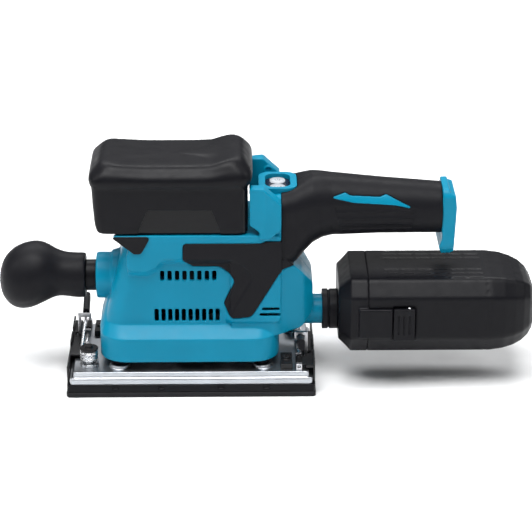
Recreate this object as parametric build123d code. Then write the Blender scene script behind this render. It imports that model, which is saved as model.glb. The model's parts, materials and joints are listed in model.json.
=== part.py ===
from build123d import *
import math
import os

"""A cordless third-sheet orbital sander, built as its separate pieces.

Frame: the origin is where the motor's axis meets the sole. +X points to the rear handle, +Z up, and the
battery sits over the motor. All lengths are in millimetres.
"""

# ---------------------------------------------------------------- driving dimensions
PAD_LENGTH, PAD_WIDTH = 185.0, 93.0     # a third of a standard abrasive sheet wraps this sole
SOLE_TOP = 4.0                          # soft sole under the pad plate
PAD_TOP = 10.0
BASE_STEP = 15.0                        # ledge along the rim of the cast base
BASE_TOP = 19.5
ORBIT_RADIUS = 1.0                      # the sole moves on a circle of 2 mm diameter

SKIRT_LENGTH, SKIRT_WIDTH, SKIRT_RADIUS = 133.0, 84.0, 20.0
SKIRT_BOTTOM, SKIRT_FACE_TOP, SKIRT_TOP = 26.5, 45.0, 52.3
BODY_HALF_WIDTH = 35.5                  # the deck and the column behind the motor
MOTOR_HALF_WIDTH = 32.0                 # the wall beside the motor is set back
DECK_TOP = 124.5                        # the battery stands on this deck
WALL = 2.6
SKIN = 1.4                              # soft grip moulded over the housing
SKIN_PROUD = 0.5

KNOB_Z, BOSS_RADIUS, BOSS_FACE = 79.5, 17.3, -70.3
NOZZLE_Z, NOZZLE_RADIUS, NOZZLE_END = 51.0, 11.2, 101.0
HANDLE_END = 185.0

BATTERY_HALF_WIDTH, BATTERY_BOTTOM = 35.0, 126.0
COVER_HALF_WIDTH, COVER_LOW = 37.5, 159.5
RAIL_HALF, RAIL_NECK_HALF, RAIL_LEDGE, RAIL_TOP = 22.0, 18.5, 128.5, 132.0
CASE_HALF_WIDTH = 33.9
CELL_RADIUS, CELL_LENGTH, CELL_PITCH, CELLS_X = 9.0, 65.0, 18.8, -48.9
CELL_ROWS = (144.6, 162.7)

MOTOR_RADIUS, STATOR_RADIUS = 28.6, 25.2
MOTOR_X = -ORBIT_RADIUS                 # the pad's own axis is the Z axis, one orbit radius behind
PILLAR_X, PILLAR_Y = 76.0, 29.0         # the spring levers' pillars
LEG_X, LEG_Y, LEG_RADIUS = 53.0, 32.0, 4.5
LEG_ROOM = LEG_RADIUS + 1.7             # the legs move with the pad, so the holes round them are wide
PIN_X, PIN_Z = 80.0, 22.5               # the clamp plates' hinge pins
SUPPORT_SPOTS = (-3.0, 20.6, 39.0)      # the ears that hold a hinge pin

STUD_RADIUS = 3.95
PANEL_X, PANEL_Z, PANEL_HALF_X, PANEL_HALF_Y = 64.5, 151.0, 9.15, 14.0
KEY_Y, KEY_RADIUS = 6.8, 5.7
LATCH_X, LATCH_Y = 161.0, 37.9          # the latches' hinge pins
BOX_FRONT, BOX_SPLIT, BOX_REAR = 109.5, 131.0, 256.0
BOX_HALF_WIDTH, BOX_TOP, BOX_BOTTOM = 38.0, 87.0, 27.0
BOX_SEAM = 218.0                        # where the end shell joins the case
DOME_RINGS = [(222.0, 1.0), (232.0, 0.965), (240.0, 0.90), (246.5, 0.81), (251.5, 0.69), (254.6, 0.55),
              (BOX_REAR, 0.38)]         # x and the share of the full section


# ---------------------------------------------------------------- shape helpers
def block(x0, x1, y0, y1, z0, z1):
    """A box from its low and high sides."""
    return Pos((x0 + x1) / 2, (y0 + y1) / 2, (z0 + z1) / 2) * Box(x1 - x0, y1 - y0, z1 - z0)


def rod_x(radius, x0, x1, y=0.0, z=0.0):
    return Pos((x0 + x1) / 2, y, z) * Rot(0, 90, 0) * Cylinder(radius, x1 - x0)


def rod_y(radius, y0, y1, x=0.0, z=0.0):
    return Pos(x, (y0 + y1) / 2, z) * Rot(90, 0, 0) * Cylinder(radius, y1 - y0)


def rod_z(radius, z0, z1, x=0.0, y=0.0):
    return Pos(x, y, (z0 + z1) / 2) * Cylinder(radius, z1 - z0)


def outline(points, radii):
    """A closed flat outline with rounded corners."""
    if not isinstance(radii, (list, tuple)):
        radii = [radii] * len(points)
    return make_face(FilletPolyline(*points, radius=list(radii), close=True))


def side_prism(points, y0, y1, radii, inset=0.0):
    """An outline in the XZ plane, pushed from y0 to y1."""
    face = outline(points, radii)
    if inset:
        face = offset(face, amount=-inset)
    plane = Plane((0, y1, 0), x_dir=(1, 0, 0), z_dir=(0, -1, 0))
    return extrude(plane * face, amount=y1 - y0, dir=(0, -1, 0))


def plan_prism(points, z0, z1, radii, inset=0.0):
    """An outline in the XY plane, pushed from z0 to z1."""
    face = outline(points, radii)
    if inset:
        face = offset(face, amount=-inset)
    return extrude(Pos(0, 0, z0) * face, amount=z1 - z0, dir=(0, 0, 1))


def cross_plane(x, z):
    """A plane across the tool: its first axis is Y and its second is Z."""
    return Plane((x, 0, z), x_dir=(0, 1, 0), z_dir=(1, 0, 0))


def slab(x0, x1, half_width, z0, z1, radius):
    """A block with its upright edges rounded."""
    face = RectangleRounded(x1 - x0, 2 * half_width, radius)
    return extrude(Pos((x0 + x1) / 2, 0, z0) * face, amount=z1 - z0)


def fuse(shapes):
    made = shapes[0]
    for shape in shapes[1:]:
        made = made + shape
    return made


def both_sides(shape):
    return [shape, mirror(shape, about=Plane.XZ)]


def turned(shape):
    """The same piece at the other end of the sole, turned half round about the motor's axis."""
    return Rot(0, 0, 180) * shape


def save(name, shape):
    """Writes one node, as its separate solids."""
    if isinstance(shape, (list, tuple)):
        solids = [s for item in shape for s in item.solids()]
    else:
        solids = list(shape.solids())
    made = solids[0] if len(solids) == 1 else Compound(children=solids)
    export_step(made, f"parts/{name}.step")


# ---------------------------------------------------------------- the housing's outer form
HANDLE_SECTIONS = [      # x, lowest z, highest z, half width, corner radius
    (60.0, 93.0, 150.0, 31.0, 12.0),
    (70.0, 93.8, 151.6, 30.0, 13.0),
    (78.0, 97.5, 153.5, 28.0, 15.0),
    (84.0, 103.5, 156.5, 25.5, 17.0),
    (90.0, 109.0, 158.6, 23.5, 18.0),
    (97.0, 112.4, 158.9, 21.8, 18.5),
    (104.0, 113.8, 158.3, 20.6, 18.5),
    (140.0, 114.8, 154.8, 19.0, 17.5),
    (HANDLE_END, 114.8, 151.0, 18.0, 16.5),
]
GRIP_OUTLINE = [         # where the soft grip covers the housing, seen from the side
    (-5.0, 118.4), (53.0, 118.4), (66.6, 129.5), (66.6, 180.0), (HANDLE_END + 9, 180.0),
    (HANDLE_END + 9, 104.0), (100.0, 104.0), (83.0, 92.0), (79.0, 99.0), (66.5, 96.5),
    (45.0, 60.3), (29.5, 58.6), (24.5, 69.8), (33.6, 89.8), (22.0, 99.3), (2.0, 99.3), (-5.0, 104.3),
]
GRIP_RADII = [3, 6, 2, 2, 2, 2, 4, 3, 3, 8, 6, 6, 4, 6, 8, 4, 3]
ACCENT_OUTLINE = [(103.0, 147.6), (113.5, 150.6), (117.0, 148.6), (139.0, 147.0), (143.5, 148.6),
                  (165.0, 138.0), (150.0, 141.2), (120.0, 143.6)]
RIB_ZONE = [(105.5, 141.6), (166.0, 138.2), (161.0, 116.0), (112.0, 116.0)]
RIB_HEIGHTS = (136.6, 131.6, 126.6, 121.6)
SCREW_SPOTS = [          # x, z and where the head ends along Y
    (-44.0, 112.0, 28.0), (-58.0, 47.0, 33.0), (40.0, 50.0, 33.5), (58.5, 112.5, 30.0),
    (84.0, 72.0, 20.0), (96.0, 137.0, 16.0), (167.0, 134.0, 14.5),
]
VENTS = ([(-20.4 + 5.45 * i, 3.0, 87.9, 95.6) for i in range(8)]
         + [(-25.0 + 5.0 * i, 2.9, 55.3, 65.0) for i in range(10)]
         + [(59.0, 13.0, 65.2, 67.4), (58.5, 15.5, 60.6, 62.8)])
DECK_OUTLINE = [         # the part of the body that stands proud, seen from the side
    (-57.0, DECK_TOP), (66.5, DECK_TOP), (66.5, 56.0), (29.0, 56.0), (31.0, 62.0), (49.0, 94.0),
    (33.0, 106.5), (-20.0, 106.8), (-25.5, 99.5), (-32.0, 96.6), (-46.0, 96.6), (-46.0, 108.0),
    (-44.5, 113.3),
]
DECK_RADII = [1.5, 3.2, 4.0, 2.0, 3.0, 8.0, 6.0, 3.2, 3.5, 3.0, 5.0, 1.0, 1.0]
FLANK_LIMIT = [(-56.0, DECK_TOP), (65.7, DECK_TOP), (65.7, 54.0), (-45.6, 54.0), (-45.6, 108.0),
               (-44.1, 113.3)]
STEP_DEPTH, STEP_ANGLE = 3.6, 52.0      # the sloping edge between the proud part and the motor's wall


def skirt_form(inset, low):
    """The wide lower part that covers the top of the base."""
    length, width, radius = SKIRT_LENGTH - 2 * inset, SKIRT_WIDTH - 2 * inset, SKIRT_RADIUS - inset
    ring = RectangleRounded(length, width, radius)
    upper = RectangleRounded(length - 6, 2 * (MOTOR_HALF_WIDTH + 0.6 - inset), radius - 5)
    wall = extrude(Pos(MOTOR_X, 0, low) * ring, amount=SKIRT_FACE_TOP - low)
    slope_top = SKIRT_TOP - 0.4 * inset
    slope = loft([Pos(MOTOR_X, 0, SKIRT_FACE_TOP) * ring, Pos(MOTOR_X, 0, slope_top) * upper], ruled=True)
    return wall + slope


def motor_form(inset):
    """The body round the motor, narrowing upwards, with a cheek at the front under the knob."""
    half = MOTOR_HALF_WIDTH - inset
    low = RectangleRounded(127 - 2 * inset, 2 * half, 14 - inset)
    high = RectangleRounded(111 - 2 * inset, 2 * half - 1.0, 12 - inset)
    waist = loft([Pos(-1.5, 0, SKIRT_TOP - 4) * low, Pos(6.5, 0, 113 - inset) * high], ruled=True)
    foot = RectangleRounded(60 - 2 * inset, 2 * half - 1.0, 13 - inset)
    chin = RectangleRounded(40 - 2 * inset, 34 - 2 * inset, 12 - inset)
    cheek = loft([Pos(-38.0, 0, SKIRT_FACE_TOP + 1) * foot, Pos(-38.5, 0, 80 - inset) * chin], ruled=True)
    return waist + cheek


def deck_flank(inset):
    """The sloping edge of the proud part, on the -Y side."""
    face = outline(DECK_OUTLINE, DECK_RADII)
    if inset:
        face = offset(face, amount=-inset)
    plane = Plane((0, -BODY_HALF_WIDTH + inset, 0), x_dir=(1, 0, 0), z_dir=(0, -1, 0))
    flank = extrude(plane * face, amount=-STEP_DEPTH, taper=-STEP_ANGLE)
    return flank & side_prism(FLANK_LIMIT, -60, 0, 0.5, inset)


def deck_form(inset):
    """The deck under the battery and the column behind the motor, with the front leaning forward."""
    side = side_prism(DECK_OUTLINE, -40, 40, DECK_RADII, inset)
    return (side & slab(-58 + inset, 80, BODY_HALF_WIDTH - inset, 50, 130, 9)) + deck_flank(inset)


def boss_form():
    """The round boss that the front knob screws into, flaring into the body."""
    barrel = rod_x(BOSS_RADIUS, BOSS_FACE, BOSS_FACE + 12, z=KNOB_Z)
    flare = Pos(BOSS_FACE + 21.5, 0, KNOB_Z + 1.5) * Rot(0, 90, 0) * Cone(BOSS_RADIUS, 24, 20)
    return fillet(barrel.edges().sort_by(Axis.X)[0], 1.6) + flare


def rear_form(inset):
    """The rounded rear of the body, over the dust outlet."""
    side = side_prism(
        [(30, 43.5), (66, 44.5), (82, 47.5), (90.5, 57), (90.5, 80), (82, 92), (70, 104), (30, 104)],
        -40, 40, [3.0, 8.0, 6.0, 7.0, 9.0, 7.0, 4.0, 2.0], inset)
    plan = plan_prism(
        [(20, -34.5), (62, -34.5), (84, -25), (93, -14), (93, 14), (84, 25), (62, 34.5), (20, 34.5)],
        30, 110, [2, 12, 8, 6, 6, 8, 12, 2], inset)
    return side & plan


def nozzle_form():
    """The dust outlet, widening where it leaves the body."""
    flare = Pos(74, 0, NOZZLE_Z) * Rot(0, 90, 0) * Cone(15.8, NOZZLE_RADIUS, 20)
    return rod_x(NOZZLE_RADIUS, 60, NOZZLE_END, z=NOZZLE_Z) + flare


def neck_and_handle_form(inset, end=HANDLE_END):
    """The neck behind the battery and the handle, through upright sections."""
    faces = []
    for x, low, high, half, radius in HANDLE_SECTIONS:
        face = RectangleRounded(2 * (half - inset), high - low - 2 * inset, radius - inset)
        faces.append(cross_plane(min(x, end), (low + high) / 2) * face)
    return loft(faces, ruled=True)


def guard_form():
    """The upright at the back of the battery bay, with a fin each side."""
    fin_outline = [(43.8, 132.5), (43.8, 159.8), (45.0, 161.0), (54.0, 161.0), (66.6, 149.4),
                   (66.6, 129.8), (57.5, 122.2), (51.0, 122.2), (51.0, 127.5)]
    fin = side_prism(fin_outline, -38.2, -27.2, [1.5, 1.0, 0.6, 1.5, 1.5, 2.0, 1.0, 1.0, 2.5])
    corner = plan_prism([(43.0, -39), (43.0, -34.8), (56.0, -38.5)], 110, 170, [0.3, 0.3, 0.3])
    wall = block(51.0, 66.6, -34.0, 34.0, 121.0, 147.5)
    seat = rod_y(3.4, -28.0, -26.4, 58.0, 152.0) - rod_y(2.2, -28.0, -26.0, 58.0, 152.0)
    return fuse([wall, *both_sides(fin - corner + seat)])


def body_form(inset):
    """The body and handle without the guard, knob boss and dust outlet."""
    return fuse([skirt_form(inset, SKIRT_BOTTOM if inset < SKIN else SKIRT_BOTTOM - 2), motor_form(inset),
                 deck_form(inset), rear_form(inset), neck_and_handle_form(inset)])


def cavity_form():
    """The hollow inside the housing, open at the bottom and through the dust outlet."""
    legs = [rod_z(LEG_ROOM, SKIRT_BOTTOM - 1, 40, MOTOR_X + x, y) for x in (-LEG_X, LEG_X)
            for y in (-LEG_Y, LEG_Y)]
    passage = block(-38, 60, -27, 27, 95, 112)
    return fuse([*legs, passage, skirt_form(WALL, SKIRT_BOTTOM - 2), motor_form(WALL),
                 deck_form(WALL), rear_form(WALL),
                 neck_and_handle_form(WALL + 0.4, HANDLE_END - 4),
                 rod_x(NOZZLE_RADIUS - 2.0, 70, NOZZLE_END + 1, z=NOZZLE_Z)])


def inner_ribs():
    """What the hollow leaves standing: bearing seats, a ring round the motor and the screw pillars."""
    upper_seat = block(-26, 24, -40, 40, 97.5, 104.0) - rod_z(11.0, 97.0, 105.0, MOTOR_X)
    motor_ring = block(-70, 31, -40, 40, 84.0, 87.0) - rod_z(MOTOR_RADIUS + 0.05, 83.0, 88.0, MOTOR_X)
    ledge = block(-62, 60, -42, 42, 42.0, 45.0) - rod_z(30.0, 41.0, 46.0, MOTOR_X)
    ledge = ledge - block(25, 70, -12, 12, 41.0, 46.0)
    pillars = [rod_y(4.4, -40, 40, x, z) for x, z, head in SCREW_SPOTS]
    return fuse([upper_seat, motor_ring, ledge, *pillars])


def accent_form():
    return side_prism(ACCENT_OUTLINE, -30, -8, [0.6, 2.0, 2.0, 2.0, 2.0, 0.6, 8.0, 20.0])


def housing_half():
    """One half of the housing, its soft grip and its handle accent, for the -Y side."""
    near = block(-200, 300, -100, 0, -10, 250)
    body = body_form(0)
    outer = fuse([body, guard_form(), boss_form(), nozzle_form()]) & near
    bezel_hole = slab(50.2, 79.0, 17.8, 146.0, 170.0, 9.0)
    guard_room = block(40, 66.7, -60, 60, 120, 170)
    region = side_prism(GRIP_OUTLINE, -60, 60, GRIP_RADII) - guard_room - bezel_hole
    core = body_form(SKIN)
    grip = ((body_form(-SKIN_PROUD) & near) & region) - core
    shell = outer - ((body & region) - core)
    hollow = cavity_form() - inner_ribs()
    cuts = [bezel_hole, rod_x(7.0, BOSS_FACE - 1, BOSS_FACE + 24, z=KNOB_Z),
            block(-46, 40, -15.5, 15.5, DECK_TOP - 6, DECK_TOP + 1)]
    for x, width, low, high in VENTS:
        cuts.append(block(x - width / 2, x + width / 2, -45, -20, low, high))
    shell = shell - hollow
    for cut in cuts:
        shell = shell - cut
        grip = grip - cut
    rib_zone = side_prism(RIB_ZONE, -30, -3, [1.0, 1.0, 2.0, 2.0])
    for z in RIB_HEIGHTS:
        rib_zone = rib_zone - block(100, 170, -31, 0, z - 0.45, z + 0.45)
    grip = grip - ((neck_and_handle_form(-SKIN_PROUD - 1) - neck_and_handle_form(0.1)) & rib_zone)
    accent_layer = neck_and_handle_form(-SKIN_PROUD - 0.2) - neck_and_handle_form(SKIN - 0.4)
    accent = accent_layer & accent_form()
    grip = grip - accent_form()
    return shell, grip, accent


def screw_y(x, z, head_y, length=22.0):
    """A pan-head screw along Y, with its cross recess."""
    head = rod_y(3.4, head_y - 2.4, head_y, x, z)
    shank = rod_y(1.75, head_y - 2.4 - length, head_y - 2.4, x, z)
    recess = block(-2.0, 2.0, head_y - 1.2, head_y + 1, -0.45, 0.45)
    return head + shank - Pos(x, 0, z) * recess - Pos(x, 0, z) * Rot(0, 90, 0) * recess


def build_housing():
    shell, grip, accent = housing_half()
    shells, grips = both_sides(shell), both_sides(grip)
    for x, z, head in SCREW_SPOTS:
        shells = [one - rod_y(1.8, -14, 60, x, z) for one in shells]
        counterbore = rod_y(3.6, head - 2.4, 60, x, z)
        shells[1] = shells[1] - counterbore
        grips[1] = grips[1] - counterbore
    save("housing_right", shells[0])
    save("housing_left", shells[1])
    save("grip_right", grips[0])
    save("grip_left", grips[1])
    save("handle_accents", both_sides(accent))
    save("housing_screws", [screw_y(x, z, head) for x, z, head in SCREW_SPOTS])


def build_housing_fittings():
    """Pieces that are fixed to the housing, outside and inside."""
    cap_outline = [(184.2, 152.0), (190.0, 152.0), (190.5, 149.0), (194.5, 147.5), (195.5, 138.0),
                   (194.0, 104.0), (192.0, 101.2), (185.0, 101.2), (183.0, 107.0), (185.2, 113.5)]
    cap = side_prism(cap_outline, -17.5, 17.5, [0.4, 0.8, 0.8, 1.5, 2, 2, 1, 1, 2, 0.4])
    cap = cap & extrude(cross_plane(180, 126.5) * RectangleRounded(34.8, 52.5, 8), amount=20, dir=(1, 0, 0))
    save("rear_cap", cap - block(180, HANDLE_END + 0.05, -25, 25, 112, 160))

    rim = slab(50.4, 78.6, 17.6, 147.6, 154.4, 8.6)
    window = slab(PANEL_X - PANEL_HALF_X, PANEL_X + PANEL_HALF_X, PANEL_HALF_Y, 140, 160, 7.0)
    save("panel_bezel", rim - window)
    half_x, half_y = PANEL_HALF_X - 0.1, PANEL_HALF_Y - 0.1
    panel = slab(PANEL_X - half_x, PANEL_X + half_x, half_y, 148.4, PANEL_Z, 6.9)
    for y in (-KEY_Y, KEY_Y):
        panel = panel - rod_z(KEY_RADIUS + 0.12, 147, 153, PANEL_X, y)
    save("control_panel", panel)

    bumper = side_prism([(-57.2, 124.3), (-28.0, 124.3), (-35.2, 110.8), (-40.4, 110.8)],
                        -36.7, -35.52, [1.0, 2.0, 3.0, 3.0])
    save("front_bumper", both_sides(bumper))

    mount = block(-44, 41, -RAIL_NECK_HALF, RAIL_NECK_HALF, DECK_TOP, RAIL_LEDGE)
    mount = mount + block(-44, 41, -RAIL_HALF, RAIL_HALF, RAIL_LEDGE, RAIL_TOP)
    mount = mount - block(-30, 42, -9, 9, RAIL_LEDGE, RAIL_TOP + 1)
    save("battery_mount", mount)
    save("battery_contacts", [block(8, 34, y - 0.6, y + 0.6, RAIL_LEDGE, RAIL_TOP - 0.6)
                              for y in (-7.2, -2.4, 2.4, 7.2)])

    cover = slab(MOTOR_X - 63.7, MOTOR_X + 63.7, 39.2, 28.0, 30.5, 17.0) - rod_z(26, 27, 32, MOTOR_X)
    for x in (-LEG_X, LEG_X):
        for y in (-LEG_Y, LEG_Y):
            cover = cover - rod_z(LEG_ROOM, 27, 32, MOTOR_X + x, y)
    save("bottom_cover", cover)

    insert = rod_x(6.98, BOSS_FACE + 1, BOSS_FACE + 22, z=KNOB_Z)
    save("knob_insert", insert - rod_x(STUD_RADIUS + 0.05, BOSS_FACE, BOSS_FACE + 25, z=KNOB_Z))
    save("controller_board", block(36, 48, -28, 28, 66, 96) + block(40, 44, -24, 24, 96, 99))


def build_motor():
    """The brushless motor: the fixed pieces stay with the housing and the rest is one rotor."""
    x = MOTOR_X
    frame = rod_z(MOTOR_RADIUS, 68.0, 97.4, x) - rod_z(16.0, 95.0, 98.0, x)
    frame = frame - rod_z(STATOR_RADIUS + 0.02, 67.0, 95.5, x)
    for turn in range(6):
        frame = frame - Pos(x, 0, 0) * Rot(0, 0, 60 * turn) * block(24, 32, -5, 5, 71.0, 81.0)
    save("motor_frame", frame)
    stator = rod_z(STATOR_RADIUS, 72.0, 92.0, x) - rod_z(14.6, 71.0, 93.0, x)
    for turn in range(6):
        stator = stator - Pos(x, 0, 0) * Rot(0, 0, 60 * turn + 30) * block(16, 21.5, -4, 4, 71.0, 93.0)
    save("stator", stator)
    ends = [rod_z(22.4, z, z + 3.0, x) - rod_z(15.6, z - 1, z + 4, x) for z in (69.0, 92.0)]
    save("stator_windings", ends)
    bracket = rod_z(31.6, 45.0, 47.6, x) + rod_z(17.0, 45.0, 55.0, x)
    bracket = bracket - rod_z(14.0, 47.0, 56.0, x) - rod_z(12.0, 44.0, 48.0, x)
    for turn in range(4):
        bracket = bracket - Pos(x, 0, 0) * Rot(0, 0, 90 * turn + 45) * rod_z(2.1, 44, 49, 27.0)
    save("bearing_bracket", bracket)
    lower = rod_z(13.98, 47.0, 55.0, x) - rod_z(6.02, 46.0, 56.0, x)
    upper = rod_z(10.98, 97.4, 104.0, x) - rod_z(4.02, 97.0, 105.0, x)
    save("lower_bearing", lower)
    save("upper_bearing", upper)

    save("rotor_core", rod_z(13.5, 71.0, 93.0, x) - rod_z(5.0, 70.0, 94.0, x))
    shaft = fuse([rod_z(4.0, 95.0, 105.0, x), rod_z(5.0, 57.0, 95.0, x), rod_z(6.0, 42.0, 57.0, x),
                  rod_z(9.0, 31.0, 42.0, x), rod_z(6.0, 12.0, 31.0)])
    save("motor_shaft", shaft)
    blades = [rod_z(27.0, 57.0, 58.4, x), rod_z(8.5, 57.0, 66.5, x)]
    for turn in range(11):
        blade = block(8.0, 26.5, -0.8, 0.8, 58.0, 66.0)
        blades.append(Pos(x, 0, 0) * Rot(0, 0, 360 * turn / 11) * blade)
    save("fan", fuse(blades) - rod_z(5.0, 56.0, 68.0, x))
    weight = rod_z(13.0, 32.0, 41.5, x) + (rod_z(22.0, 32.0, 41.5, x) & block(-40, x - 4, -40, 40, 30, 43))
    save("counterweight", weight - rod_z(9.0, 31.0, 43.0, x))


def dust_hole_spots():
    spots = [(x, y) for x in (-66.0, -22.0, 22.0, 66.0) for y in (-28.0, 28.0)]
    return spots + [(-44.0, 0.0), (44.0, 0.0)]


def build_base():
    """The pad and its cast base, which move as one piece on the crank pin."""
    half, width = PAD_LENGTH / 2, PAD_WIDTH / 2
    sole = slab(-half, half, width, 0, SOLE_TOP, 3.0)
    plate = slab(-half + 0.4, half - 0.4, width - 0.4, SOLE_TOP, PAD_TOP, 3.0)
    for x in (-56, -22, 22, 56):
        for y in (-width, width):
            plate = plate - block(x - 2.5, x + 2.5, y - 1.6, y + 1.6, 6.5, 9.0)
    for x, y in dust_hole_spots():
        sole = sole - rod_z(4.5, -1, SOLE_TOP + 1, x, y)
        plate = plate - rod_z(4.5, SOLE_TOP - 1, PAD_TOP + 1, x, y)
    save("pad_sole", sole)
    save("pad_plate", plate)

    casting = slab(-90, 90, 45.5, PAD_TOP, BASE_STEP, 2.5) + slab(-87.5, 87.5, 44, BASE_STEP, BASE_TOP, 2.5)
    casting = casting + (Pos(0, 0, BASE_TOP) * Cone(29, 24, 5, align=(Align.CENTER, Align.CENTER, Align.MIN)))
    for x in (-LEG_X, LEG_X):
        for y in (-LEG_Y, LEG_Y):
            casting = casting + rod_z(7.2, BASE_TOP - 1, 22.0, x, y) - rod_z(4.0, 14.0, 23.0, x, y)
            rib = Pos(x * 0.67, y * 0.67, 21.0) * Rot(0, 0, math.degrees(math.atan2(y, x))) * Box(22, 4, 4)
            casting = casting + rib
    casting = casting - rod_z(14.02, 16.5, 26.0) - rod_z(10.0, 9.0, 17.0)
    for x, y in dust_hole_spots():
        casting = casting - rod_z(4.5, PAD_TOP - 1, 14.0, x, y)
    save("base_casting", casting)
    save("pad_bearing", rod_z(14.0, 16.5, 24.5) - rod_z(6.02, 16.0, 25.0))
    legs = []
    for x in (-LEG_X, LEG_X):
        for y in (-LEG_Y, LEG_Y):
            legs.append(rod_z(LEG_RADIUS, 22.0, 33.0, x, y) + rod_z(3.98, 14.0, 22.0, x, y))
    save("rubber_legs", legs)


def build_clamp(end, place):
    """The paper clamp and its spring lever at the front end; place turns them to the other end."""
    x, y = -PILLAR_X, -PILLAR_Y
    coil_radius, wire = 5.6, 1.1
    turns = sweep(Plane((x + coil_radius, y, 23.2), z_dir=(0, 1, 0)) * Circle(wire),
                  path=Pos(x, y, 23.2) * Helix(2.25, 6.75, coil_radius), is_frenet=True)
    bend, end_point = Vector(-81.2, 21.5, 36.2), Vector(-81.6, 47.0, 42.5)
    along = (end_point - bend).normalized()
    lead = [Vector(x + coil_radius, y, 29.95), Vector(x + 5.0, y - 4.2, 30.0), Vector(x, y - 6.6, 30.0),
            Vector(x - 5.0, y - 4.2, 30.0), Vector(x - coil_radius, y + 1.0, 30.0), bend, bend + along * 10]
    arm = sweep(Plane(lead[0], z_dir=lead[1] - lead[0]) * Circle(wire),
                path=FilletPolyline(*lead, radius=[2.0, 3.0, 3.0, 2.0, 4.0]))
    save(f"lever_wire_{end}", place([turns, arm]))
    grip_plane = Plane(bend + along * 3.0, x_dir=(1, 0, 0), z_dir=along)
    tip = extrude(grip_plane * RectangleRounded(5.0, 8.0, 2.0), amount=22.0)
    tip = tip - extrude(grip_plane * Circle(wire + 0.02), amount=7.5)
    save(f"lever_tip_{end}", place([tip]))


def build_clamps():
    same = lambda pieces: pieces
    other = lambda pieces: [turned(piece) for piece in pieces]
    build_clamp("front", same)
    build_clamp("rear", other)

    flat = block(-91.6, -PIN_X + 1.4, -20, 42, PIN_Z - 0.8, PIN_Z + 0.8)
    lip = block(-91.9, -90.4, -42, 42, 10.5, PIN_Z + 0.8)
    for y0, y1 in ((-6, 13.5), (21.5, 42)):     # the hook stands in the gap between them
        lip = lip + block(-91.9, -90.4, y0, y1, PIN_Z, 27.0)
    plate = flat + lip - rod_y(2.6, -25, 45, -PIN_X, PIN_Z) - block(-89.3, -70, 14.5, 20.5, 10, 30)
    for y0 in SUPPORT_SPOTS:
        plate = plate - block(-85.0, -70, y0 - 0.5, y0 + 3.5, 10, 30)
    for y0, y1 in ((-16, -4), (26, 38)):
        sleeve = rod_y(2.4, y0, y1, -PIN_X, PIN_Z) - rod_y(1.25, y0 - 1, y1 + 1, -PIN_X, PIN_Z)
        strap = block(-PIN_X - 5, -PIN_X - 1.6, y0, y1, PIN_Z - 0.8, PIN_Z + 0.8)
        plate = plate + sleeve + strap
    save("clamp_plate_front", plate)
    save("clamp_plate_rear", turned(plate))

    pin = rod_y(1.2, -19, 41, -PIN_X, PIN_Z)
    save("clamp_pins", [pin, turned(pin)])
    supports = []
    for y0 in SUPPORT_SPOTS:
        stand = block(-PIN_X - 2.2, -PIN_X + 2.2, y0, y0 + 3, BASE_TOP, PIN_Z + 2.2)
        supports.append(stand - rod_y(1.2, y0 - 1, y0 + 4, -PIN_X, PIN_Z))
    hook = block(-87.0, -84.6, 16.0, 19.0, BASE_TOP, 40.0) + block(-87.0, -77.0, 16.0, 19.0, 37.4, 40.0)
    hook = hook + block(-78.6, -77.0, 16.0, 19.0, 34.6, 40.0)
    corner = block(-75.0, -66.5, 20.0, 41.0, BASE_TOP, 24.0) + rod_z(3.2, 24.0, 25.6, -70.5, 30.0)
    corner = corner - block(-72.5, -68.5, 29.6, 30.4, 24.8, 26.0)
    corner = corner - block(-70.9, -70.1, 28.0, 32.0, 24.8, 26.0)
    save("clamp_brackets", both_ends([hook, *supports]))
    save("corner_blocks", both_ends([corner]))
    pillar = rod_z(7.0, BASE_TOP, 21.3, -PILLAR_X, -PILLAR_Y) + rod_z(3.5, 21.3, 31.9, -PILLAR_X, -PILLAR_Y)
    washer = rod_z(6.9, 31.9, 33.1, -PILLAR_X, -PILLAR_Y) + rod_z(3.0, 33.1, 35.3, -PILLAR_X, -PILLAR_Y)
    washer = washer - Pos(-PILLAR_X, -PILLAR_Y, 0) * block(-2.2, 2.2, -0.4, 0.4, 34.3, 36)
    save("lever_pillars", both_ends([pillar]))
    save("lever_pillar_screws", both_ends([washer]))


def both_ends(shapes):
    return [one for shape in shapes for one in (shape, turned(shape))]


def knob_profile():
    """Half the outline of the knob, from its open end to its tip: x and radius."""
    return [(-78.2, 16.4), (-90.0, 16.6), (-98.0, 17.4), (-105.0, 20.9), (-112.0, 24.3), (-119.5, 25.5),
            (-127.0, 24.7), (-133.5, 21.6), (-139.0, 16.2), (-142.6, 8.4)]


def build_knob():
    rings = []
    for i, (x, radius) in enumerate(knob_profile()):
        sag = -2.0 * max(0.0, (-112.0 - x) / 30.0) + (1.2 if -116 < x < -96 else 0.0)
        rings.append(cross_plane(x, KNOB_Z + sag) * Circle(radius))
    knob = loft(rings, ruled=True)
    save("knob", knob - rod_x(STUD_RADIUS, -104, -78, z=KNOB_Z) - rod_x(8.0, -85.0, -78, z=KNOB_Z))
    collar = rod_x(11.6, -78.2, BOSS_FACE - 0.1, z=KNOB_Z) + rod_x(8.0, -85.0, -78.2, z=KNOB_Z)
    save("knob_collar", collar - rod_x(STUD_RADIUS, -90, -60, z=KNOB_Z))
    save("knob_stud", rod_x(STUD_RADIUS, -104, BOSS_FACE + 20, z=KNOB_Z))


def battery_window():
    """The cut in each side of the cover that shows the battery's case."""
    corners = [(-37.6, 120.0), (-37.6, 127.4), (-30.0, 144.2), (16.0, 144.2), (22.6, 127.4), (22.6, 120.0)]
    return side_prism(corners, -50, 50, [1, 1, 3, 3, 1, 1])


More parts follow.
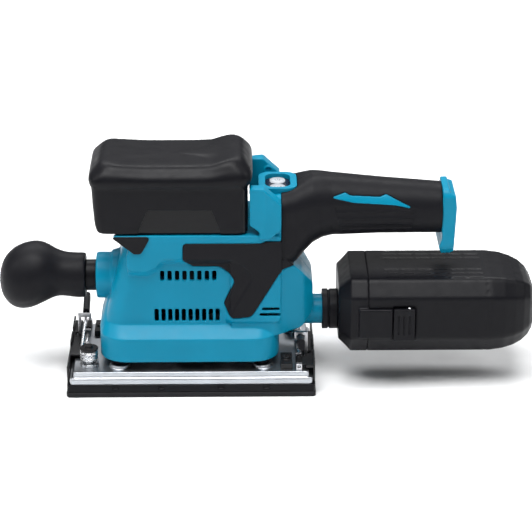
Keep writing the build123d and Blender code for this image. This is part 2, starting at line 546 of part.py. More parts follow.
def build_battery():
    cap_side = [(-71.5, COVER_LOW), (-72.0, 168.0), (-64.0, 177.2), (-56.0, 178.0), (-44.0, 176.0),
                (12.0, 176.2), (30.0, 180.4), (38.5, 179.0), (46.3, 167.5), (43.1, 162.8), (43.1, COVER_LOW)]
    cap = side_prism(cap_side, -40, 40, [1.5, 6, 5, 4, 8, 8, 5, 4, 2.5, 1.5, 0.8])
    cap = cap & slab(-73, 48, COVER_HALF_WIDTH, 150, 190, 9.0)
    wall_side = [(-69.2, 131.0), (-66.0, BATTERY_BOTTOM), (42.6, BATTERY_BOTTOM), (42.6, COVER_LOW + 2),
                 (-70.6, COVER_LOW + 2)]
    wall = side_prism(wall_side, -40, 40, [2, 3, 1.5, 0.8, 0.8])
    wall = wall & slab(-72, 43.2, BATTERY_HALF_WIDTH, 120, 165, 6.0)
    inside = block(-63.0, 40.4, -CASE_HALF_WIDTH, CASE_HALF_WIDTH, BATTERY_BOTTOM - 1, 174.8)
    channel = [block(-46, 50, -RAIL_HALF - 0.4, RAIL_HALF + 0.4, RAIL_LEDGE - 0.4, RAIL_TOP + 0.4),
               block(-46, 50, -RAIL_NECK_HALF - 0.4, RAIL_NECK_HALF + 0.4, BATTERY_BOTTOM - 1, RAIL_LEDGE)]
    button_hole = block(-73, -60, -11.5, 11.5, 137.5, 153.4)
    cover = fuse([cap, wall]) - inside - battery_window() - button_hole
    save("battery_cover", cover - channel[0] - channel[1])

    case = block(-62.9, 40.3, -CASE_HALF_WIDTH + 0.1, CASE_HALF_WIDTH - 0.1, BATTERY_BOTTOM, 160.0)
    case = case - block(-60.8, 38.2, -32.7, 32.7, 133.8, 161.0)
    case = case - channel[0] - channel[1]
    seam = block(-64, 42, -40, -CASE_HALF_WIDTH + 0.5, 136.2, 136.9)
    for groove in both_sides(seam):
        case = case - groove
    save("battery_base", case)
    button = block(-70.4, -63.2, -11.2, 11.2, 141.5, 153.2)
    save("battery_button", fillet(button.edges().filter_by(Axis.Y).group_by(Axis.X)[0], 1.0))
    cells = [rod_y(CELL_RADIUS, -CELL_LENGTH / 2, CELL_LENGTH / 2, CELLS_X + CELL_PITCH * i, z)
             for i in range(5) for z in CELL_ROWS]
    save("battery_cells", cells)
    save("battery_board", block(-58.0, 36.0, -30.0, 30.0, 133.9, 135.4))


def build_keys():
    for name, y in (("power_key", KEY_Y), ("speed_key", -KEY_Y)):
        save(name, rod_z(KEY_RADIUS, 149.4, PANEL_Z + 0.9, PANEL_X, y))


BOX_CORNERS = [(-28, BOX_TOP), (28, BOX_TOP), (BOX_HALF_WIDTH, 75), (BOX_HALF_WIDTH, 43),
               (26, BOX_BOTTOM), (-26, BOX_BOTTOM), (-BOX_HALF_WIDTH, 43), (-BOX_HALF_WIDTH, 75)]
BOX_RADII = [6, 6, 5, 7, 8, 8, 7, 5]


def box_section(x, inset):
    """The dust box's section across X, drawn in by an inset."""
    face = outline(BOX_CORNERS, BOX_RADII)
    return cross_plane(x, 0) * (offset(face, amount=-inset) if inset else face)


def dome_section(x, share):
    """The box's section shrunk towards its middle, for the domed end."""
    middle = (BOX_TOP + BOX_BOTTOM) / 2
    corners = [(y * share, (z - middle) * share) for y, z in BOX_CORNERS]
    return cross_plane(x, middle) * outline(corners, [radius * share for radius in BOX_RADII])


def box_length(x0, x1, inset):
    return extrude(box_section(x0, inset), amount=x1 - x0, dir=(1, 0, 0))


def build_dust_box():
    ring = rod_x(15.1, 98.0, BOX_FRONT, z=NOZZLE_Z) - rod_x(NOZZLE_RADIUS + 0.1, 97, 110, z=NOZZLE_Z)
    groove = rod_x(16.0, 102.2, 103.4, z=NOZZLE_Z) - rod_x(14.0, 102.0, 104.0, z=NOZZLE_Z)
    save("dust_collar", ring - groove)

    cover = loft([box_section(BOX_FRONT, 9.0), box_section(BOX_FRONT + 9.0, 0.0)], ruled=True)
    cover = cover + box_length(BOX_FRONT + 9.0, BOX_SPLIT, 0.0)
    room = loft([box_section(BOX_FRONT + 2.4, 10.5), box_section(BOX_FRONT + 10.0, 2.4)], ruled=True)
    cover = cover - room - box_length(BOX_FRONT + 10.0, BOX_SPLIT + 1, 2.4)
    cover = cover - rod_x(NOZZLE_RADIUS - 1.0, BOX_FRONT - 1, BOX_FRONT + 8, z=NOZZLE_Z)
    arm = block(124.0, 148.6, -41.2, -BOX_HALF_WIDTH + 0.5, 44.5, 67.5)
    arm = arm - block(BOX_SPLIT, 150, -BOX_HALF_WIDTH - 0.3, 0, 30, 80)
    save("dust_box_cover", fuse([cover, *both_sides(arm)]))

    frame = box_length(BOX_SPLIT, BOX_SPLIT + 4.0, 2.7) - box_length(BOX_SPLIT - 1, BOX_SPLIT + 5.0, 6.0)
    save("filter_frame", frame)
    pleats = [box_length(BOX_SPLIT + 0.8, BOX_SPLIT + 1.6, 6.0)]
    for i in range(9):
        pleats.append(block(BOX_SPLIT + 1.4, BOX_SPLIT + 16, -24 + 6 * i - 0.5, -24 + 6 * i + 0.5, 36, 78))
    save("filter_paper", fuse(pleats))

    case = box_length(BOX_SPLIT, DOME_RINGS[0][0], 0.0)
    case = case + loft([dome_section(x, share) for x, share in DOME_RINGS], ruled=True)
    inside = box_length(BOX_SPLIT - 1, DOME_RINGS[0][0], 2.4)
    inside = inside + loft([dome_section(x - 2.4, share - 0.065) for x, share in DOME_RINGS[1:5]], ruled=True)
    case = case - inside
    band = box_length(BOX_SEAM, BOX_SEAM + 0.9, -1.0) - box_length(BOX_SEAM - 1, BOX_SEAM + 2.0, 0.6)
    case = case - band
    for y in (-26.0, -18.5, -11.0, 11.0, 18.5, 26.0):
        for i in range(6):
            x = 144.0 + 12.3 * i
            case = case - block(x, x + 10.4, y - 1.1, y + 1.1, BOX_TOP - 0.8, BOX_TOP + 1)
    latch = block(149.4, 165.0, -41.6, -38.4, 43.0, 67.8)
    latch = fillet(latch.edges().filter_by(Axis.Z).group_by(Axis.Y)[0], 0.8)
    for x in (153.0, 157.0, 161.0):
        latch = latch - block(x - 0.6, x + 0.6, -43, -40.9, 48, 63)
    pocket = block(149.0, 165.6, -45, -36.4, 42.6, 68.2)
    tongue = block(159.0, 163.0, -38.5, -36.8, 51.0, 60.0)
    latch = latch + tongue - rod_z(1.05, 40, 70, LATCH_X, -LATCH_Y)
    backed = block(148.0, 166.6, -38.0, -33.8, 41.5, 69.5)
    case = case + fuse(both_sides(backed)) - fuse(both_sides(pocket))
    save("dust_box_case", case)
    save("dust_latch_right", latch)
    save("dust_latch_left", mirror(latch, about=Plane.XZ))
    save("latch_pins", both_sides(rod_z(1.0, 42.6, 68.2, LATCH_X, -LATCH_Y)))


if __name__ == "__main__":
    os.makedirs("parts", exist_ok=True)
    build_housing()
    build_housing_fittings()
    build_motor()
    build_base()
    build_clamps()
    build_knob()
    build_battery()
    build_keys()
    build_dust_box()
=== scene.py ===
# %% [markdown]
# # A cordless orbital sander
# The design of the tool is already fixed: every piece has its size and place. This lesson loads that
# frame and gives each piece the surface, the soft edges and the small details of the real thing.
# All lengths are in metres, +X points to the rear handle and +Z is up.

# %% Load the frame
import json
import math

import bmesh
import bpy
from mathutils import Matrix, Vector


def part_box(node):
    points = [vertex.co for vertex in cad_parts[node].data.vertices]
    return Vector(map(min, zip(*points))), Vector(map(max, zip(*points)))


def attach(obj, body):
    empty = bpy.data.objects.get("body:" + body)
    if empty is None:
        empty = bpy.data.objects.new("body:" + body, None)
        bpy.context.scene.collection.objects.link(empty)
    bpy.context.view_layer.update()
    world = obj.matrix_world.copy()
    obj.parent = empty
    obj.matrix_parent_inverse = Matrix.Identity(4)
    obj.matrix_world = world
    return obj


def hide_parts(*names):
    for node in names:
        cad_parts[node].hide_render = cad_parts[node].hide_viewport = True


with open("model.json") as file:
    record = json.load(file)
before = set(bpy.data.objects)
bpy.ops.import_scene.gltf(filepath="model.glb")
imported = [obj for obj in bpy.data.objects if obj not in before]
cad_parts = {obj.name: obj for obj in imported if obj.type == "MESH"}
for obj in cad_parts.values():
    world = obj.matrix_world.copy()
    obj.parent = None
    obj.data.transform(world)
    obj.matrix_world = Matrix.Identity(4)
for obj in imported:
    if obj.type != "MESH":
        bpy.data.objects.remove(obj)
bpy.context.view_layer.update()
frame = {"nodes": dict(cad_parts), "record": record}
MM = 0.001
nodes = frame["nodes"]

# %% [markdown]
# ## Studio
# A product shot wants big soft lights and a pale sweep. One large area light hangs above and in front,
# another lights the floor behind, a weak one stands at each side, and a dim world fills the shadows.
# A long lens far away keeps the tool's proportions.

# %% Camera and lights
AIM = Vector((0.056, 0.0, 0.0858))
ELEVATION, AZIMUTH, DISTANCE = math.radians(23.0), math.radians(-0.734), 1.6
LENS_MM, SENSOR_MM, NEAR_CLIP = 145.0, 36.0, 0.05
WORLD_COLOUR, WORLD_STRENGTH = (0.96, 0.98, 1.0, 1), 0.2


def place_camera():
    back = Vector((math.sin(AZIMUTH) * math.cos(ELEVATION), -math.cos(AZIMUTH) * math.cos(ELEVATION),
                   math.sin(ELEVATION)))
    data = bpy.data.cameras.new("studio_camera")
    data.lens, data.sensor_width, data.clip_start = LENS_MM, SENSOR_MM, NEAR_CLIP
    camera = bpy.data.objects.new("studio_camera", data)
    camera.location = AIM + back * DISTANCE
    camera.rotation_euler = back.to_track_quat("Z", "Y").to_euler()
    bpy.context.collection.objects.link(camera)
    bpy.context.scene.camera = camera


def softbox(name, place, size, power, target=(0.05, 0, 0.08)):
    data = bpy.data.lights.new(name, "AREA")
    data.shape, data.size, data.size_y, data.energy = "RECTANGLE", size[0], size[1], power
    light = bpy.data.objects.new(name, data)
    light.location = place
    light.rotation_euler = (Vector(place) - Vector(target)).to_track_quat("Z", "Y").to_euler()
    bpy.context.collection.objects.link(light)


place_camera()
softbox("top_light", (-0.1, -0.6, 2.1), (1.9, 1.2), 72.0)
softbox("sweep_light", (0.0, 3.2, 3.6), (5.0, 1.6), 170.0, target=(0.0, 3.2, 0.0))
softbox("left_light", (-1.5, -0.2, 1.2), (0.35, 0.9), 7.0)
softbox("right_light", (1.7, -0.1, 1.3), (0.35, 0.9), 6.0)
world = bpy.data.worlds.new("studio_world")
world.use_nodes = True
world.node_tree.nodes["Background"].inputs["Color"].default_value = WORLD_COLOUR
world.node_tree.nodes["Background"].inputs["Strength"].default_value = WORLD_STRENGTH
bpy.context.scene.world = world
bpy.context.scene.view_settings.view_transform = "Standard"
print("studio ready")

# %% [markdown]
# ## Materials
# Every finish here is procedural: noise for the spark texture of a mould, fine bumps for rubber,
# noise for brushed steel. The texture coordinates are the object's own, so the grain keeps
# its real size on every piece.

# %% A small kit for node materials
RAMP_START, RAMP_END = 0.3, 0.7                 # noise rarely leaves this range, so the ramp spans it
GRAIN_DEPTH, BRUSH_DEPTH = 0.00006, 0.00004     # metres


def new_material(name):
    material = bpy.data.materials.new(name)
    material.use_nodes = True
    return material, material.node_tree, material.node_tree.nodes["Principled BSDF"]


def noise(tree, scale, detail=2.0, stretch=(1, 1, 1)):
    """Noise in the object's own metres: scale 1000 gives features of about a millimetre."""
    place = tree.nodes.new("ShaderNodeTexCoord")
    mapping = tree.nodes.new("ShaderNodeMapping")
    mapping.inputs["Scale"].default_value = stretch
    texture = tree.nodes.new("ShaderNodeTexNoise")
    texture.inputs["Scale"].default_value = scale
    texture.inputs["Detail"].default_value = detail
    tree.links.new(place.outputs["Object"], mapping.inputs["Vector"])
    tree.links.new(mapping.outputs["Vector"], texture.inputs["Vector"])
    return texture.outputs["Fac"]


def ramp(tree, value, low, high):
    """Spreads a 0 to 1 value between two colours or two grey levels."""
    node = tree.nodes.new("ShaderNodeValToRGB")
    for element, colour in zip(node.color_ramp.elements, (low, high)):
        element.color = (*colour, 1) if isinstance(colour, tuple) else (colour, colour, colour, 1)
    node.color_ramp.elements[0].position = RAMP_START
    node.color_ramp.elements[1].position = RAMP_END
    tree.links.new(value, node.inputs["Fac"])
    return node.outputs["Color"]


def bump(tree, shader, height, strength, depth):
    node = tree.nodes.new("ShaderNodeBump")
    node.inputs["Strength"].default_value = strength
    node.inputs["Distance"].default_value = depth
    tree.links.new(height, node.inputs["Height"])
    tree.links.new(node.outputs["Normal"], shader.inputs["Normal"])


def shade(colour, factor):
    return tuple(min(1.0, channel * factor) for channel in colour)


def moulded(name, colour, roughness, grain=2600, strength=0.15, spread=0.06, shine=0.25):
    """Injection-moulded plastic or rubber: spark texture, slight colour drift, uneven gloss."""
    material, tree, shader = new_material(name)
    drift = noise(tree, 30.0, 3.0)
    tree.links.new(ramp(tree, drift, shade(colour, 0.95), shade(colour, 1.05)), shader.inputs["Base Color"])
    patches = noise(tree, 140.0, 4.0)
    tree.links.new(ramp(tree, patches, roughness - spread, roughness + spread), shader.inputs["Roughness"])
    bump(tree, shader, noise(tree, grain, 2.0), strength, GRAIN_DEPTH)
    shader.inputs["Specular IOR Level"].default_value = shine
    return material


def metal(name, colour, roughness, grain=900, stretch=(1, 1, 1), strength=0.1, spread=0.08):
    material, tree, shader = new_material(name)
    shader.inputs["Metallic"].default_value = 1.0
    drift = noise(tree, 60.0, 3.0)
    tree.links.new(ramp(tree, drift, shade(colour, 0.9), shade(colour, 1.05)), shader.inputs["Base Color"])
    lines = noise(tree, grain, 3.0, stretch)
    tree.links.new(ramp(tree, lines, roughness - spread, roughness + spread), shader.inputs["Roughness"])
    bump(tree, shader, lines, strength, BRUSH_DEPTH)
    return material


# %% [markdown]
# ### The finishes
# The body is a coloured moulding with a low sheen, the covers are a black one, and the grips are a duller
# rubber. The metals are cast aluminium, bright pressed steel and a plain steel for turned pieces.

# %% The finishes of this tool
TEAL = (0.0, 0.2, 0.325)
finish = {
    "teal_plastic": moulded("teal_plastic", TEAL, 0.38, 2400, 0.12, shine=0.16),
    "black_plastic": moulded("black_plastic", (0.0045, 0.0045, 0.0062), 0.42, 2200, 0.3, shine=0.14),
    "grip_rubber": moulded("grip_rubber", (0.006, 0.006, 0.008), 0.5, 3000, 0.4, shine=0.13),
    "cast_aluminium": metal("cast_aluminium", (0.48, 0.5, 0.53), 0.36, 1500),
    "bright_steel": metal("bright_steel", (0.66, 0.67, 0.69), 0.27, 700, spread=0.05),
    "steel": metal("steel", (0.55, 0.55, 0.57), 0.34, 900),
    "black_steel": moulded("black_steel", (0.012, 0.012, 0.013), 0.32, 1500, 0.1),
    "foam_rubber": moulded("foam_rubber", (0.014, 0.014, 0.016), 0.8, 900, 0.6),
    "copper": metal("copper", (0.72, 0.35, 0.18), 0.3, 1200),
    "white_key": moulded("white_key", (0.5, 0.52, 0.55), 0.35, 2600, 0.05),
    "dark_panel": moulded("dark_panel", (0.012, 0.014, 0.03), 0.25, 2600, 0.05),
    "paper": moulded("filter_paper", (0.75, 0.71, 0.6), 0.9, 1500, 0.5),
    "cell_wrap": moulded("cell_wrap", (0.06, 0.25, 0.5), 0.3, 1500, 0.05),
    "board_green": moulded("board_green", (0.02, 0.14, 0.06), 0.35, 1500, 0.1),
    "brass": metal("brass", (0.8, 0.6, 0.28), 0.28, 900),
}
gloss_black = moulded("gloss_black", (0.0025, 0.0025, 0.0035), 0.2, 2600, 0.03, shine=0.2)
slot_of = {part["node"]: part["material_slot"] for part in frame["record"]["subparts"]}
for node_name, node in nodes.items():
    node.data.materials.clear()
    node.data.materials.append(finish[slot_of[node_name]])
nodes["battery_base"].data.materials[0] = gloss_black    # the pack's own case shines behind its cover
print("finishes:", ", ".join(finish))

# %% [markdown]
# ## Floor
# The floor isn't part of the tool. A single large plane is enough, because
# the sweep behind the tool is out of sight.

# %% Floor
FLOOR_HALF = 6.0


def make_floor():
    mesh = bpy.data.meshes.new("floor")
    form = bmesh.new()
    bmesh.ops.create_grid(form, x_segments=1, y_segments=1, size=FLOOR_HALF)
    form.to_mesh(mesh)
    form.free()
    floor = bpy.data.objects.new("floor", mesh)
    bpy.context.collection.objects.link(floor)
    mesh.materials.append(moulded("pale_floor", (0.88, 0.885, 0.89), 0.8, 300, 0.02, 0.03, shine=0.05))


make_floor()
print("floor:", 2 * FLOOR_HALF, "m square")

# %% [markdown]
# ## Soft edges on the moulded casings
# A moulded casing has no knife edges: every corner is rounded by the tool that cut the mould. Bevels
# need clean edge loops, which a casing cut from curved solids doesn't have. A voxel remesh rebuilds the
# skin as small even squares, a few rounds of smoothing roll every edge over by about a millimetre, and
# a decimation drops the points that flat areas don't need. As modifiers they leave the design alone.

# %% A helper that softens a piece
SMOOTHING = 0.5


def soften(name, voxel, rounds, keep=1.0):
    piece = nodes[name]
    remesh = piece.modifiers.new("even_skin", "REMESH")
    remesh.mode, remesh.voxel_size, remesh.use_smooth_shade = "VOXEL", voxel * MM, True
    smooth = piece.modifiers.new("rolled_edges", "SMOOTH")
    smooth.factor, smooth.iterations = SMOOTHING, rounds
    if keep < 1.0:
        thin = piece.modifiers.new("fewer_faces", "DECIMATE")
        thin.ratio = keep


def count_triangles(name):
    """How many triangles a piece has once its modifiers are applied."""
    depsgraph = bpy.context.evaluated_depsgraph_get()
    mesh = nodes[name].evaluated_get(depsgraph).to_mesh()
    return sum(len(face.vertices) - 2 for face in mesh.polygons)


SOFTENED = {  # piece: voxel in mm, smoothing rounds, share of faces kept
    "housing_left": (0.55, 3, 0.25), "housing_right": (0.55, 3, 0.25),
    "grip_left": (0.5, 5, 0.4), "grip_right": (0.5, 5, 0.4), "handle_accents": (0.3, 3, 1.0),
    "battery_base": (0.6, 2, 0.4),
    "dust_box_case": (0.8, 5, 0.4), "dust_box_cover": (0.7, 5, 0.5),
    "dust_latch_left": (0.35, 3, 0.6), "dust_latch_right": (0.35, 3, 0.6), "dust_collar": (0.4, 3, 0.6),
    "rear_cap": (0.5, 5, 0.6), "panel_bezel": (0.35, 3, 0.6), "front_bumper": (0.35, 2, 0.6),
    "base_casting": (0.6, 3, 0.35), "pad_plate": (0.6, 2, 0.35), "pad_sole": (0.6, 2, 0.35),
    "clamp_plate_front": (0.35, 2, 0.5), "clamp_plate_rear": (0.35, 2, 0.5),
    "clamp_brackets": (0.3, 2, 0.6), "corner_blocks": (0.3, 2, 0.6), "lever_pillars": (0.3, 2, 0.6),
    "lever_pillar_screws": (0.25, 1, 0.6), "lever_tip_front": (0.3, 4, 0.6), "lever_tip_rear": (0.3, 4, 0.6),
    "battery_button": (0.3, 3, 0.6), "battery_mount": (0.5, 2, 0.5), "knob_collar": (0.4, 2, 0.6),
}
for name, (voxel, rounds, keep) in SOFTENED.items():
    soften(name, voxel, rounds, keep)
print("triangles:", {name: count_triangles(name) for name in ("housing_left", "grip_left", "dust_box_case")})

# %% [markdown]
# ## The small pieces
# The small turned and folded pieces keep their machined shape, so they need no remesh. A weld joins the
# points that neighbouring faces share, and smooth shading then runs on from one face to the next.

# %% Shade the small pieces
WELD_DISTANCE = 0.002 * MM


def weld_and_shade(piece):
    weld = piece.modifiers.new("joined_points", "WELD")
    weld.merge_threshold = WELD_DISTANCE
    for polygon in piece.data.polygons:
        polygon.use_smooth = True


machined = [name for name in nodes if name not in SOFTENED]
for name in machined:
    weld_and_shade(nodes[name])
print("left as machined:", len(machined))

# %% [markdown]
# ## Front knob
# The knob is a soft bulb on a short neck, a little drooped towards its nose so that it fills the palm.
# A turned shape would be dead round, so it is made ring by ring: each ring has its own place along the
# axis, its own radius and its own lift. The underside is drawn in slightly, which leaves the faint
# moulding edge that runs round the lower third. A subdivision surface then rounds the whole form.

# %% Build the knob
KNOB_RINGS = [  # share of the length from the open end, radius in mm, lift in mm
    (0.0, 15.4, 0.0), (0.006, 16.4, 0.0), (0.03, 16.9, 0.0), (0.12, 16.9, 0.0), (0.22, 16.8, 0.6),
    (0.30, 17.3, 1.5), (0.37, 18.8, 2.3), (0.455, 22.0, 2.6), (0.547, 24.3, 2.0), (0.64, 25.4, 0.4),
    (0.733, 25.0, -0.8), (0.824, 23.1, -1.8), (0.90, 19.4, -2.2), (0.955, 14.4, -2.4), (0.985, 8.8, -2.5),
    (1.0, 3.0, -2.5),
]
RING_POINTS = 40
UNDERSIDE, DRAWN_IN = -0.5, 0.975    # sine that marks the underside, and the share of the radius left there
DRAWN_FROM, DRAWN_TO = 0.15, 0.97    # shares of the length between which the underside is drawn in


def new_piece(name, form, material, body):
    """Turns a bmesh into an object that rides on a body of the frame."""
    bmesh.ops.recalc_face_normals(form, faces=form.faces)
    mesh = bpy.data.meshes.new(name)
    form.to_mesh(mesh)
    form.free()
    mesh.materials.append(material)
    for polygon in mesh.polygons:
        polygon.use_smooth = True
    piece = bpy.data.objects.new(name, mesh)
    bpy.context.collection.objects.link(piece)
    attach(piece, body)
    return piece


def skin_rings(form, rings, close_ends=True):
    """Joins rings of points, each a list of positions, into one tube."""
    rows = [[form.verts.new(point) for point in ring] for ring in rings]
    for row, following in zip(rows, rows[1:]):
        for i in range(len(row)):
            j = (i + 1) % len(row)
            form.faces.new((row[i], row[j], following[j], following[i]))
    if close_ends:
        form.faces.new(list(reversed(rows[0])))
        form.faces.new(rows[-1])
    return rows


def make_knob():
    low, high = (Vector(corner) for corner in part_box("knob"))
    stud_low, stud_high = (Vector(corner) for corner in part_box("knob_stud"))
    axis_z = (stud_low.z + stud_high.z) / 2
    length = high.x - low.x
    rings = []
    for share, radius, lift in KNOB_RINGS:
        ring = []
        for i in range(RING_POINTS):
            angle = math.tau * i / RING_POINTS
            drawn = math.sin(angle) < UNDERSIDE and DRAWN_FROM < share < DRAWN_TO
            reach = radius * MM * (DRAWN_IN if drawn else 1.0)
            ring.append((high.x - share * length, reach * math.cos(angle),
                         axis_z + lift * MM + reach * math.sin(angle)))
        rings.append(ring)
    form = bmesh.new()
    skin_rings(form, rings)
    knob = new_piece("front_knob", form, finish["grip_rubber"], "knob")
    rounding = knob.modifiers.new("rounding", "SUBSURF")
    rounding.levels = rounding.render_levels = 2
    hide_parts("knob")
    return knob


knob = make_knob()
print("knob:", len(knob.data.vertices), "points before subdivision")

# %% [markdown]
# ## Battery cover
# The cover is one soft moulding: straight walls, a rounded ledge that runs round them like a brim, and
# a saddle-shaped top that rises at both ends. Sculpting could do it, but a stack of rounded rectangles
# is exact and repeatable: each row gives its height, its reach in X and Y and how much of the saddle it
# follows. Faces are left out where the battery shows through the sides and where its button sits in
# front. A solidify modifier gives the wall, and a subdivision surface rolls all the edges.

# %% Build the battery cover
COVER_ROWS = [  # height, half width, front, rear, corner radius (mm), share of the saddle
    (126.0, 34.9, -67.0, 42.3, 7.0, 0.0),
    (126.9, 35.0, -67.6, 42.6, 7.0, 0.0),
    (131.0, 35.0, -69.0, 42.6, 7.0, 0.0),
    (141.0, 35.0, -69.6, 42.6, 7.0, 0.0),
    (143.2, 35.0, -69.8, 42.6, 7.0, 0.0),
    (144.2, 35.0, -69.9, 42.6, 7.0, 0.0),
    (145.4, 35.0, -70.0, 42.6, 7.0, 0.0),
    (153.6, 35.0, -70.3, 42.6, 7.0, 0.0),
    (158.6, 34.9, -70.5, 42.6, 7.0, 0.0),
    (160.6, 35.0, -70.7, 42.8, 7.2, 0.0),
    (162.2, 36.4, -71.7, 44.2, 8.5, 0.1),
    (164.6, 37.4, -72.6, 45.9, 10.0, 0.2),
    (167.6, 37.3, -72.6, 46.2, 11.0, 0.35),
    (170.2, 35.6, -71.2, 44.6, 11.5, 0.55),
    (171.9, 33.6, -69.0, 42.4, 11.5, 0.75),
    (174.0, 31.8, -66.6, 40.2, 11.5, 0.9),
    (175.8, 29.2, -63.6, 37.6, 11.0, 1.0),
    (176.3, 25.2, -59.6, 34.0, 10.0, 1.0),
    (176.3, 17.0, -51.0, 26.0, 8.0, 1.0),
    (176.3, 8.0, -40.0, 16.0, 4.0, 1.0),
]
WINDOW_ROWS, WINDOW_LOW, WINDOW_HIGH = (0, 5), (-37.2, 22.6), (-30.0, 16.0)
WINDOW_FOOT, WINDOW_HEAD = 127.4, 144.2                     # heights between which its sides slope
BUTTON_ROWS, BUTTON_HALF = (3, 7), 11.5
SIDE_REACH, FRONT_REACH = 30.0, -60.0                       # faces past these are side and front walls
CORNER_STEPS, CORNER_GAP, EDGE_GAP = 4, 3.0, 1.5
FRONT_RISE, FRONT_PEAK, FRONT_SPREAD = 2.3, -60.0, 9.0      # the low hump over the front
REAR_RISE, REAR_STEP, REAR_SPREAD = 5.4, 23.0, 3.6          # the shoulder at the rear
WALL, RIM_CREASE = 1.1, 0.7


def saddle(x):
    """How far the top rises at a place along the cover, in mm."""
    front = FRONT_RISE * math.exp(-((x - FRONT_PEAK) / FRONT_SPREAD) ** 2)
    rear = REAR_RISE / (1.0 + math.exp(-(x - REAR_STEP) / REAR_SPREAD))
    return front + rear


def window_edges(z):
    """Where the side window starts and ends along X at a height: it is narrower at its head."""
    share = min(1.0, max(0.0, (z - WINDOW_FOOT) / (WINDOW_HEAD - WINDOW_FOOT)))
    return [low + (high - low) * share for low, high in zip(WINDOW_LOW, WINDOW_HIGH)]


def corner_points(x, y, radius, start):
    angles = [math.radians(start + 90.0 * i / CORNER_STEPS) for i in range(1, CORNER_STEPS)]
    return [(x + radius * math.cos(angle), y + radius * math.sin(angle)) for angle in angles]


def cover_ring(row):
    """One rounded rectangle, from the front corner of the -Y side round to the +Y side."""
    z, half, front, rear, radius, share = row
    left, right = window_edges(z)
    left = max(left, front + radius + CORNER_GAP)
    right = min(right, rear - radius - CORNER_GAP)
    side = [front + radius, left - EDGE_GAP, left, left + EDGE_GAP, left + (right - left) * 0.25,
            (left + right) / 2, left + (right - left) * 0.75, right - EDGE_GAP, right, right + EDGE_GAP,
            rear - radius]
    button = [BUTTON_HALF * share_of_half for share_of_half in (-1.0, -0.5, 0.0, 0.5, 1.0)]
    end = [-half + radius, *button, half - radius]
    if half - radius <= BUTTON_HALF:
        end = [(-half + radius) * (1.0 - i / 3.0) for i in range(len(end))]
    flat = [(x, -half) for x in side]
    flat += corner_points(rear - radius, -half + radius, radius, -90.0)
    flat += [(rear, y) for y in end]
    flat += corner_points(rear - radius, half - radius, radius, 0.0)
    flat += [(x, half) for x in reversed(side)]
    flat += corner_points(front + radius, half - radius, radius, 90.0)
    flat += [(front, y) for y in reversed(end)]
    flat += corner_points(front + radius, -half + radius, radius, 180.0)
    return [Vector((x, y, z + share * saddle(x))) * MM for x, y in flat]


def in_window(face, low, high):
    middle = face.calc_center_median() / MM
    left, right = window_edges(middle.z)
    return abs(middle.y) > SIDE_REACH and low < middle.z < high and left < middle.x < right


def in_button_hole(face, low, high):
    middle = face.calc_center_median() / MM
    return middle.x < FRONT_REACH and abs(middle.y) < BUTTON_HALF and low < middle.z < high


def make_battery_cover():
    form = bmesh.new()
    rows = skin_rings(form, [cover_ring(row) for row in COVER_ROWS], close_ends=False)
    form.faces.new(rows[-1])
    heights = [row[0] for row in COVER_ROWS]
    window = (heights[WINDOW_ROWS[0]], heights[WINDOW_ROWS[1]])
    button = (heights[BUTTON_ROWS[0]], heights[BUTTON_ROWS[1]])
    gone = [face for face in form.faces if in_window(face, *window) or in_button_hole(face, *button)]
    bmesh.ops.delete(form, geom=gone, context="FACES")
    cover = new_piece("soft_battery_cover", form, finish["black_plastic"], "battery")
    wall = cover.modifiers.new("wall", "SOLIDIFY")
    wall.thickness, wall.offset, wall.edge_crease_rim = WALL * MM, -1.0, RIM_CREASE
    rounding = cover.modifiers.new("rounding", "SUBSURF")
    rounding.levels = rounding.render_levels = 2
    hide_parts("battery_cover")
    return cover


cover = make_battery_cover()
print("battery cover:", len(cover.data.polygons), "faces before subdivision")

# %% [markdown]
# ## Signs on the two keys
# The keys carry generic printed signs: a broken ring with a bar for power, and three dots for speed.
# Print has almost no height, so each sign is a flat mesh just above its key, and a solidify modifier makes
# it a twentieth of a millimetre thick.

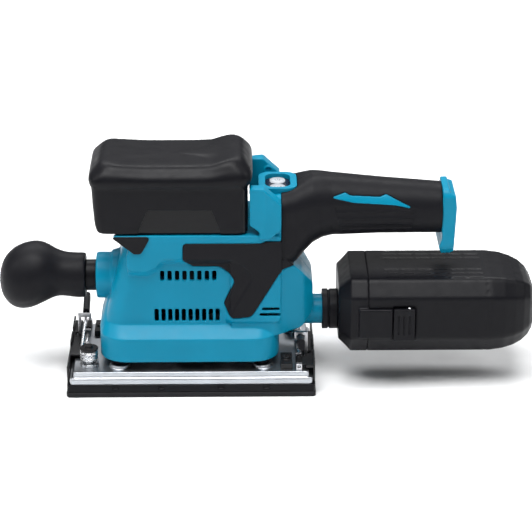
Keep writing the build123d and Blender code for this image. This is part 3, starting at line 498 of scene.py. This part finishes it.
# %% Draw flat shapes for the signs
def flat_ring(form, centre, inner, outer, start, end, z, steps=28):
    previous = None
    for i in range(steps + 1):
        angle = start + (end - start) * i / steps
        pair = [form.verts.new((centre.x + r * math.cos(angle), centre.y + r * math.sin(angle), z))
                for r in (inner, outer)]
        if previous:
            form.faces.new((previous[0], previous[1], pair[1], pair[0]))
        previous = pair


def flat_patch(form, x0, x1, y0, y1, z):
    form.faces.new([form.verts.new((x, y, z)) for x, y in ((x0, y0), (x1, y0), (x1, y1), (x0, y1))])


print("shapes for the signs: a ring and a patch")

# %% [markdown]
# ### The two signs
# The power sign is a ring that is open at the top, with an upright bar through the gap. The speed sign is
# three dots that grow from left to right.

# %% Print the signs
INK_LIFT, INK_THICKNESS = 0.04 * MM, 0.05 * MM
POWER_INNER, POWER_OUTER = 1.5 * MM, 2.05 * MM
POWER_START, POWER_END = math.radians(125), math.radians(415)
BAR_HALF, BAR_LENGTH = 0.28 * MM, 2.4 * MM
DOT_PITCH, DOT_CENTRE, DOT_RADIUS, DOT_GROWTH = 2.1 * MM, 0.05 * MM, 0.5, 0.18


def make_signs():
    ink = moulded("key_print", (0.12, 0.13, 0.16), 0.45, 2600, 0.03)
    made = []
    for key in ("power_key", "speed_key"):
        low, high = (Vector(corner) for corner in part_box(key))
        middle, z = (low + high) / 2, high.z + INK_LIFT
        form = bmesh.new()
        if key == "power_key":
            flat_ring(form, middle, POWER_INNER, POWER_OUTER, POWER_START, POWER_END, z)
            flat_patch(form, middle.x - BAR_HALF, middle.x + BAR_HALF, middle.y, middle.y + BAR_LENGTH, z)
        else:
            for step in (-1, 0, 1):
                centre = middle + Vector((DOT_PITCH * step, 0, 0))
                radius = (DOT_RADIUS + DOT_GROWTH * step) * MM
                flat_ring(form, centre, DOT_CENTRE, radius, 0.0, math.tau, z, 20)
        sign = new_piece(key + "_sign", form, ink, key)
        thickness = sign.modifiers.new("ink", "SOLIDIFY")
        thickness.thickness = INK_THICKNESS
        made.append(sign.name)
    return made


print("printed:", make_signs())
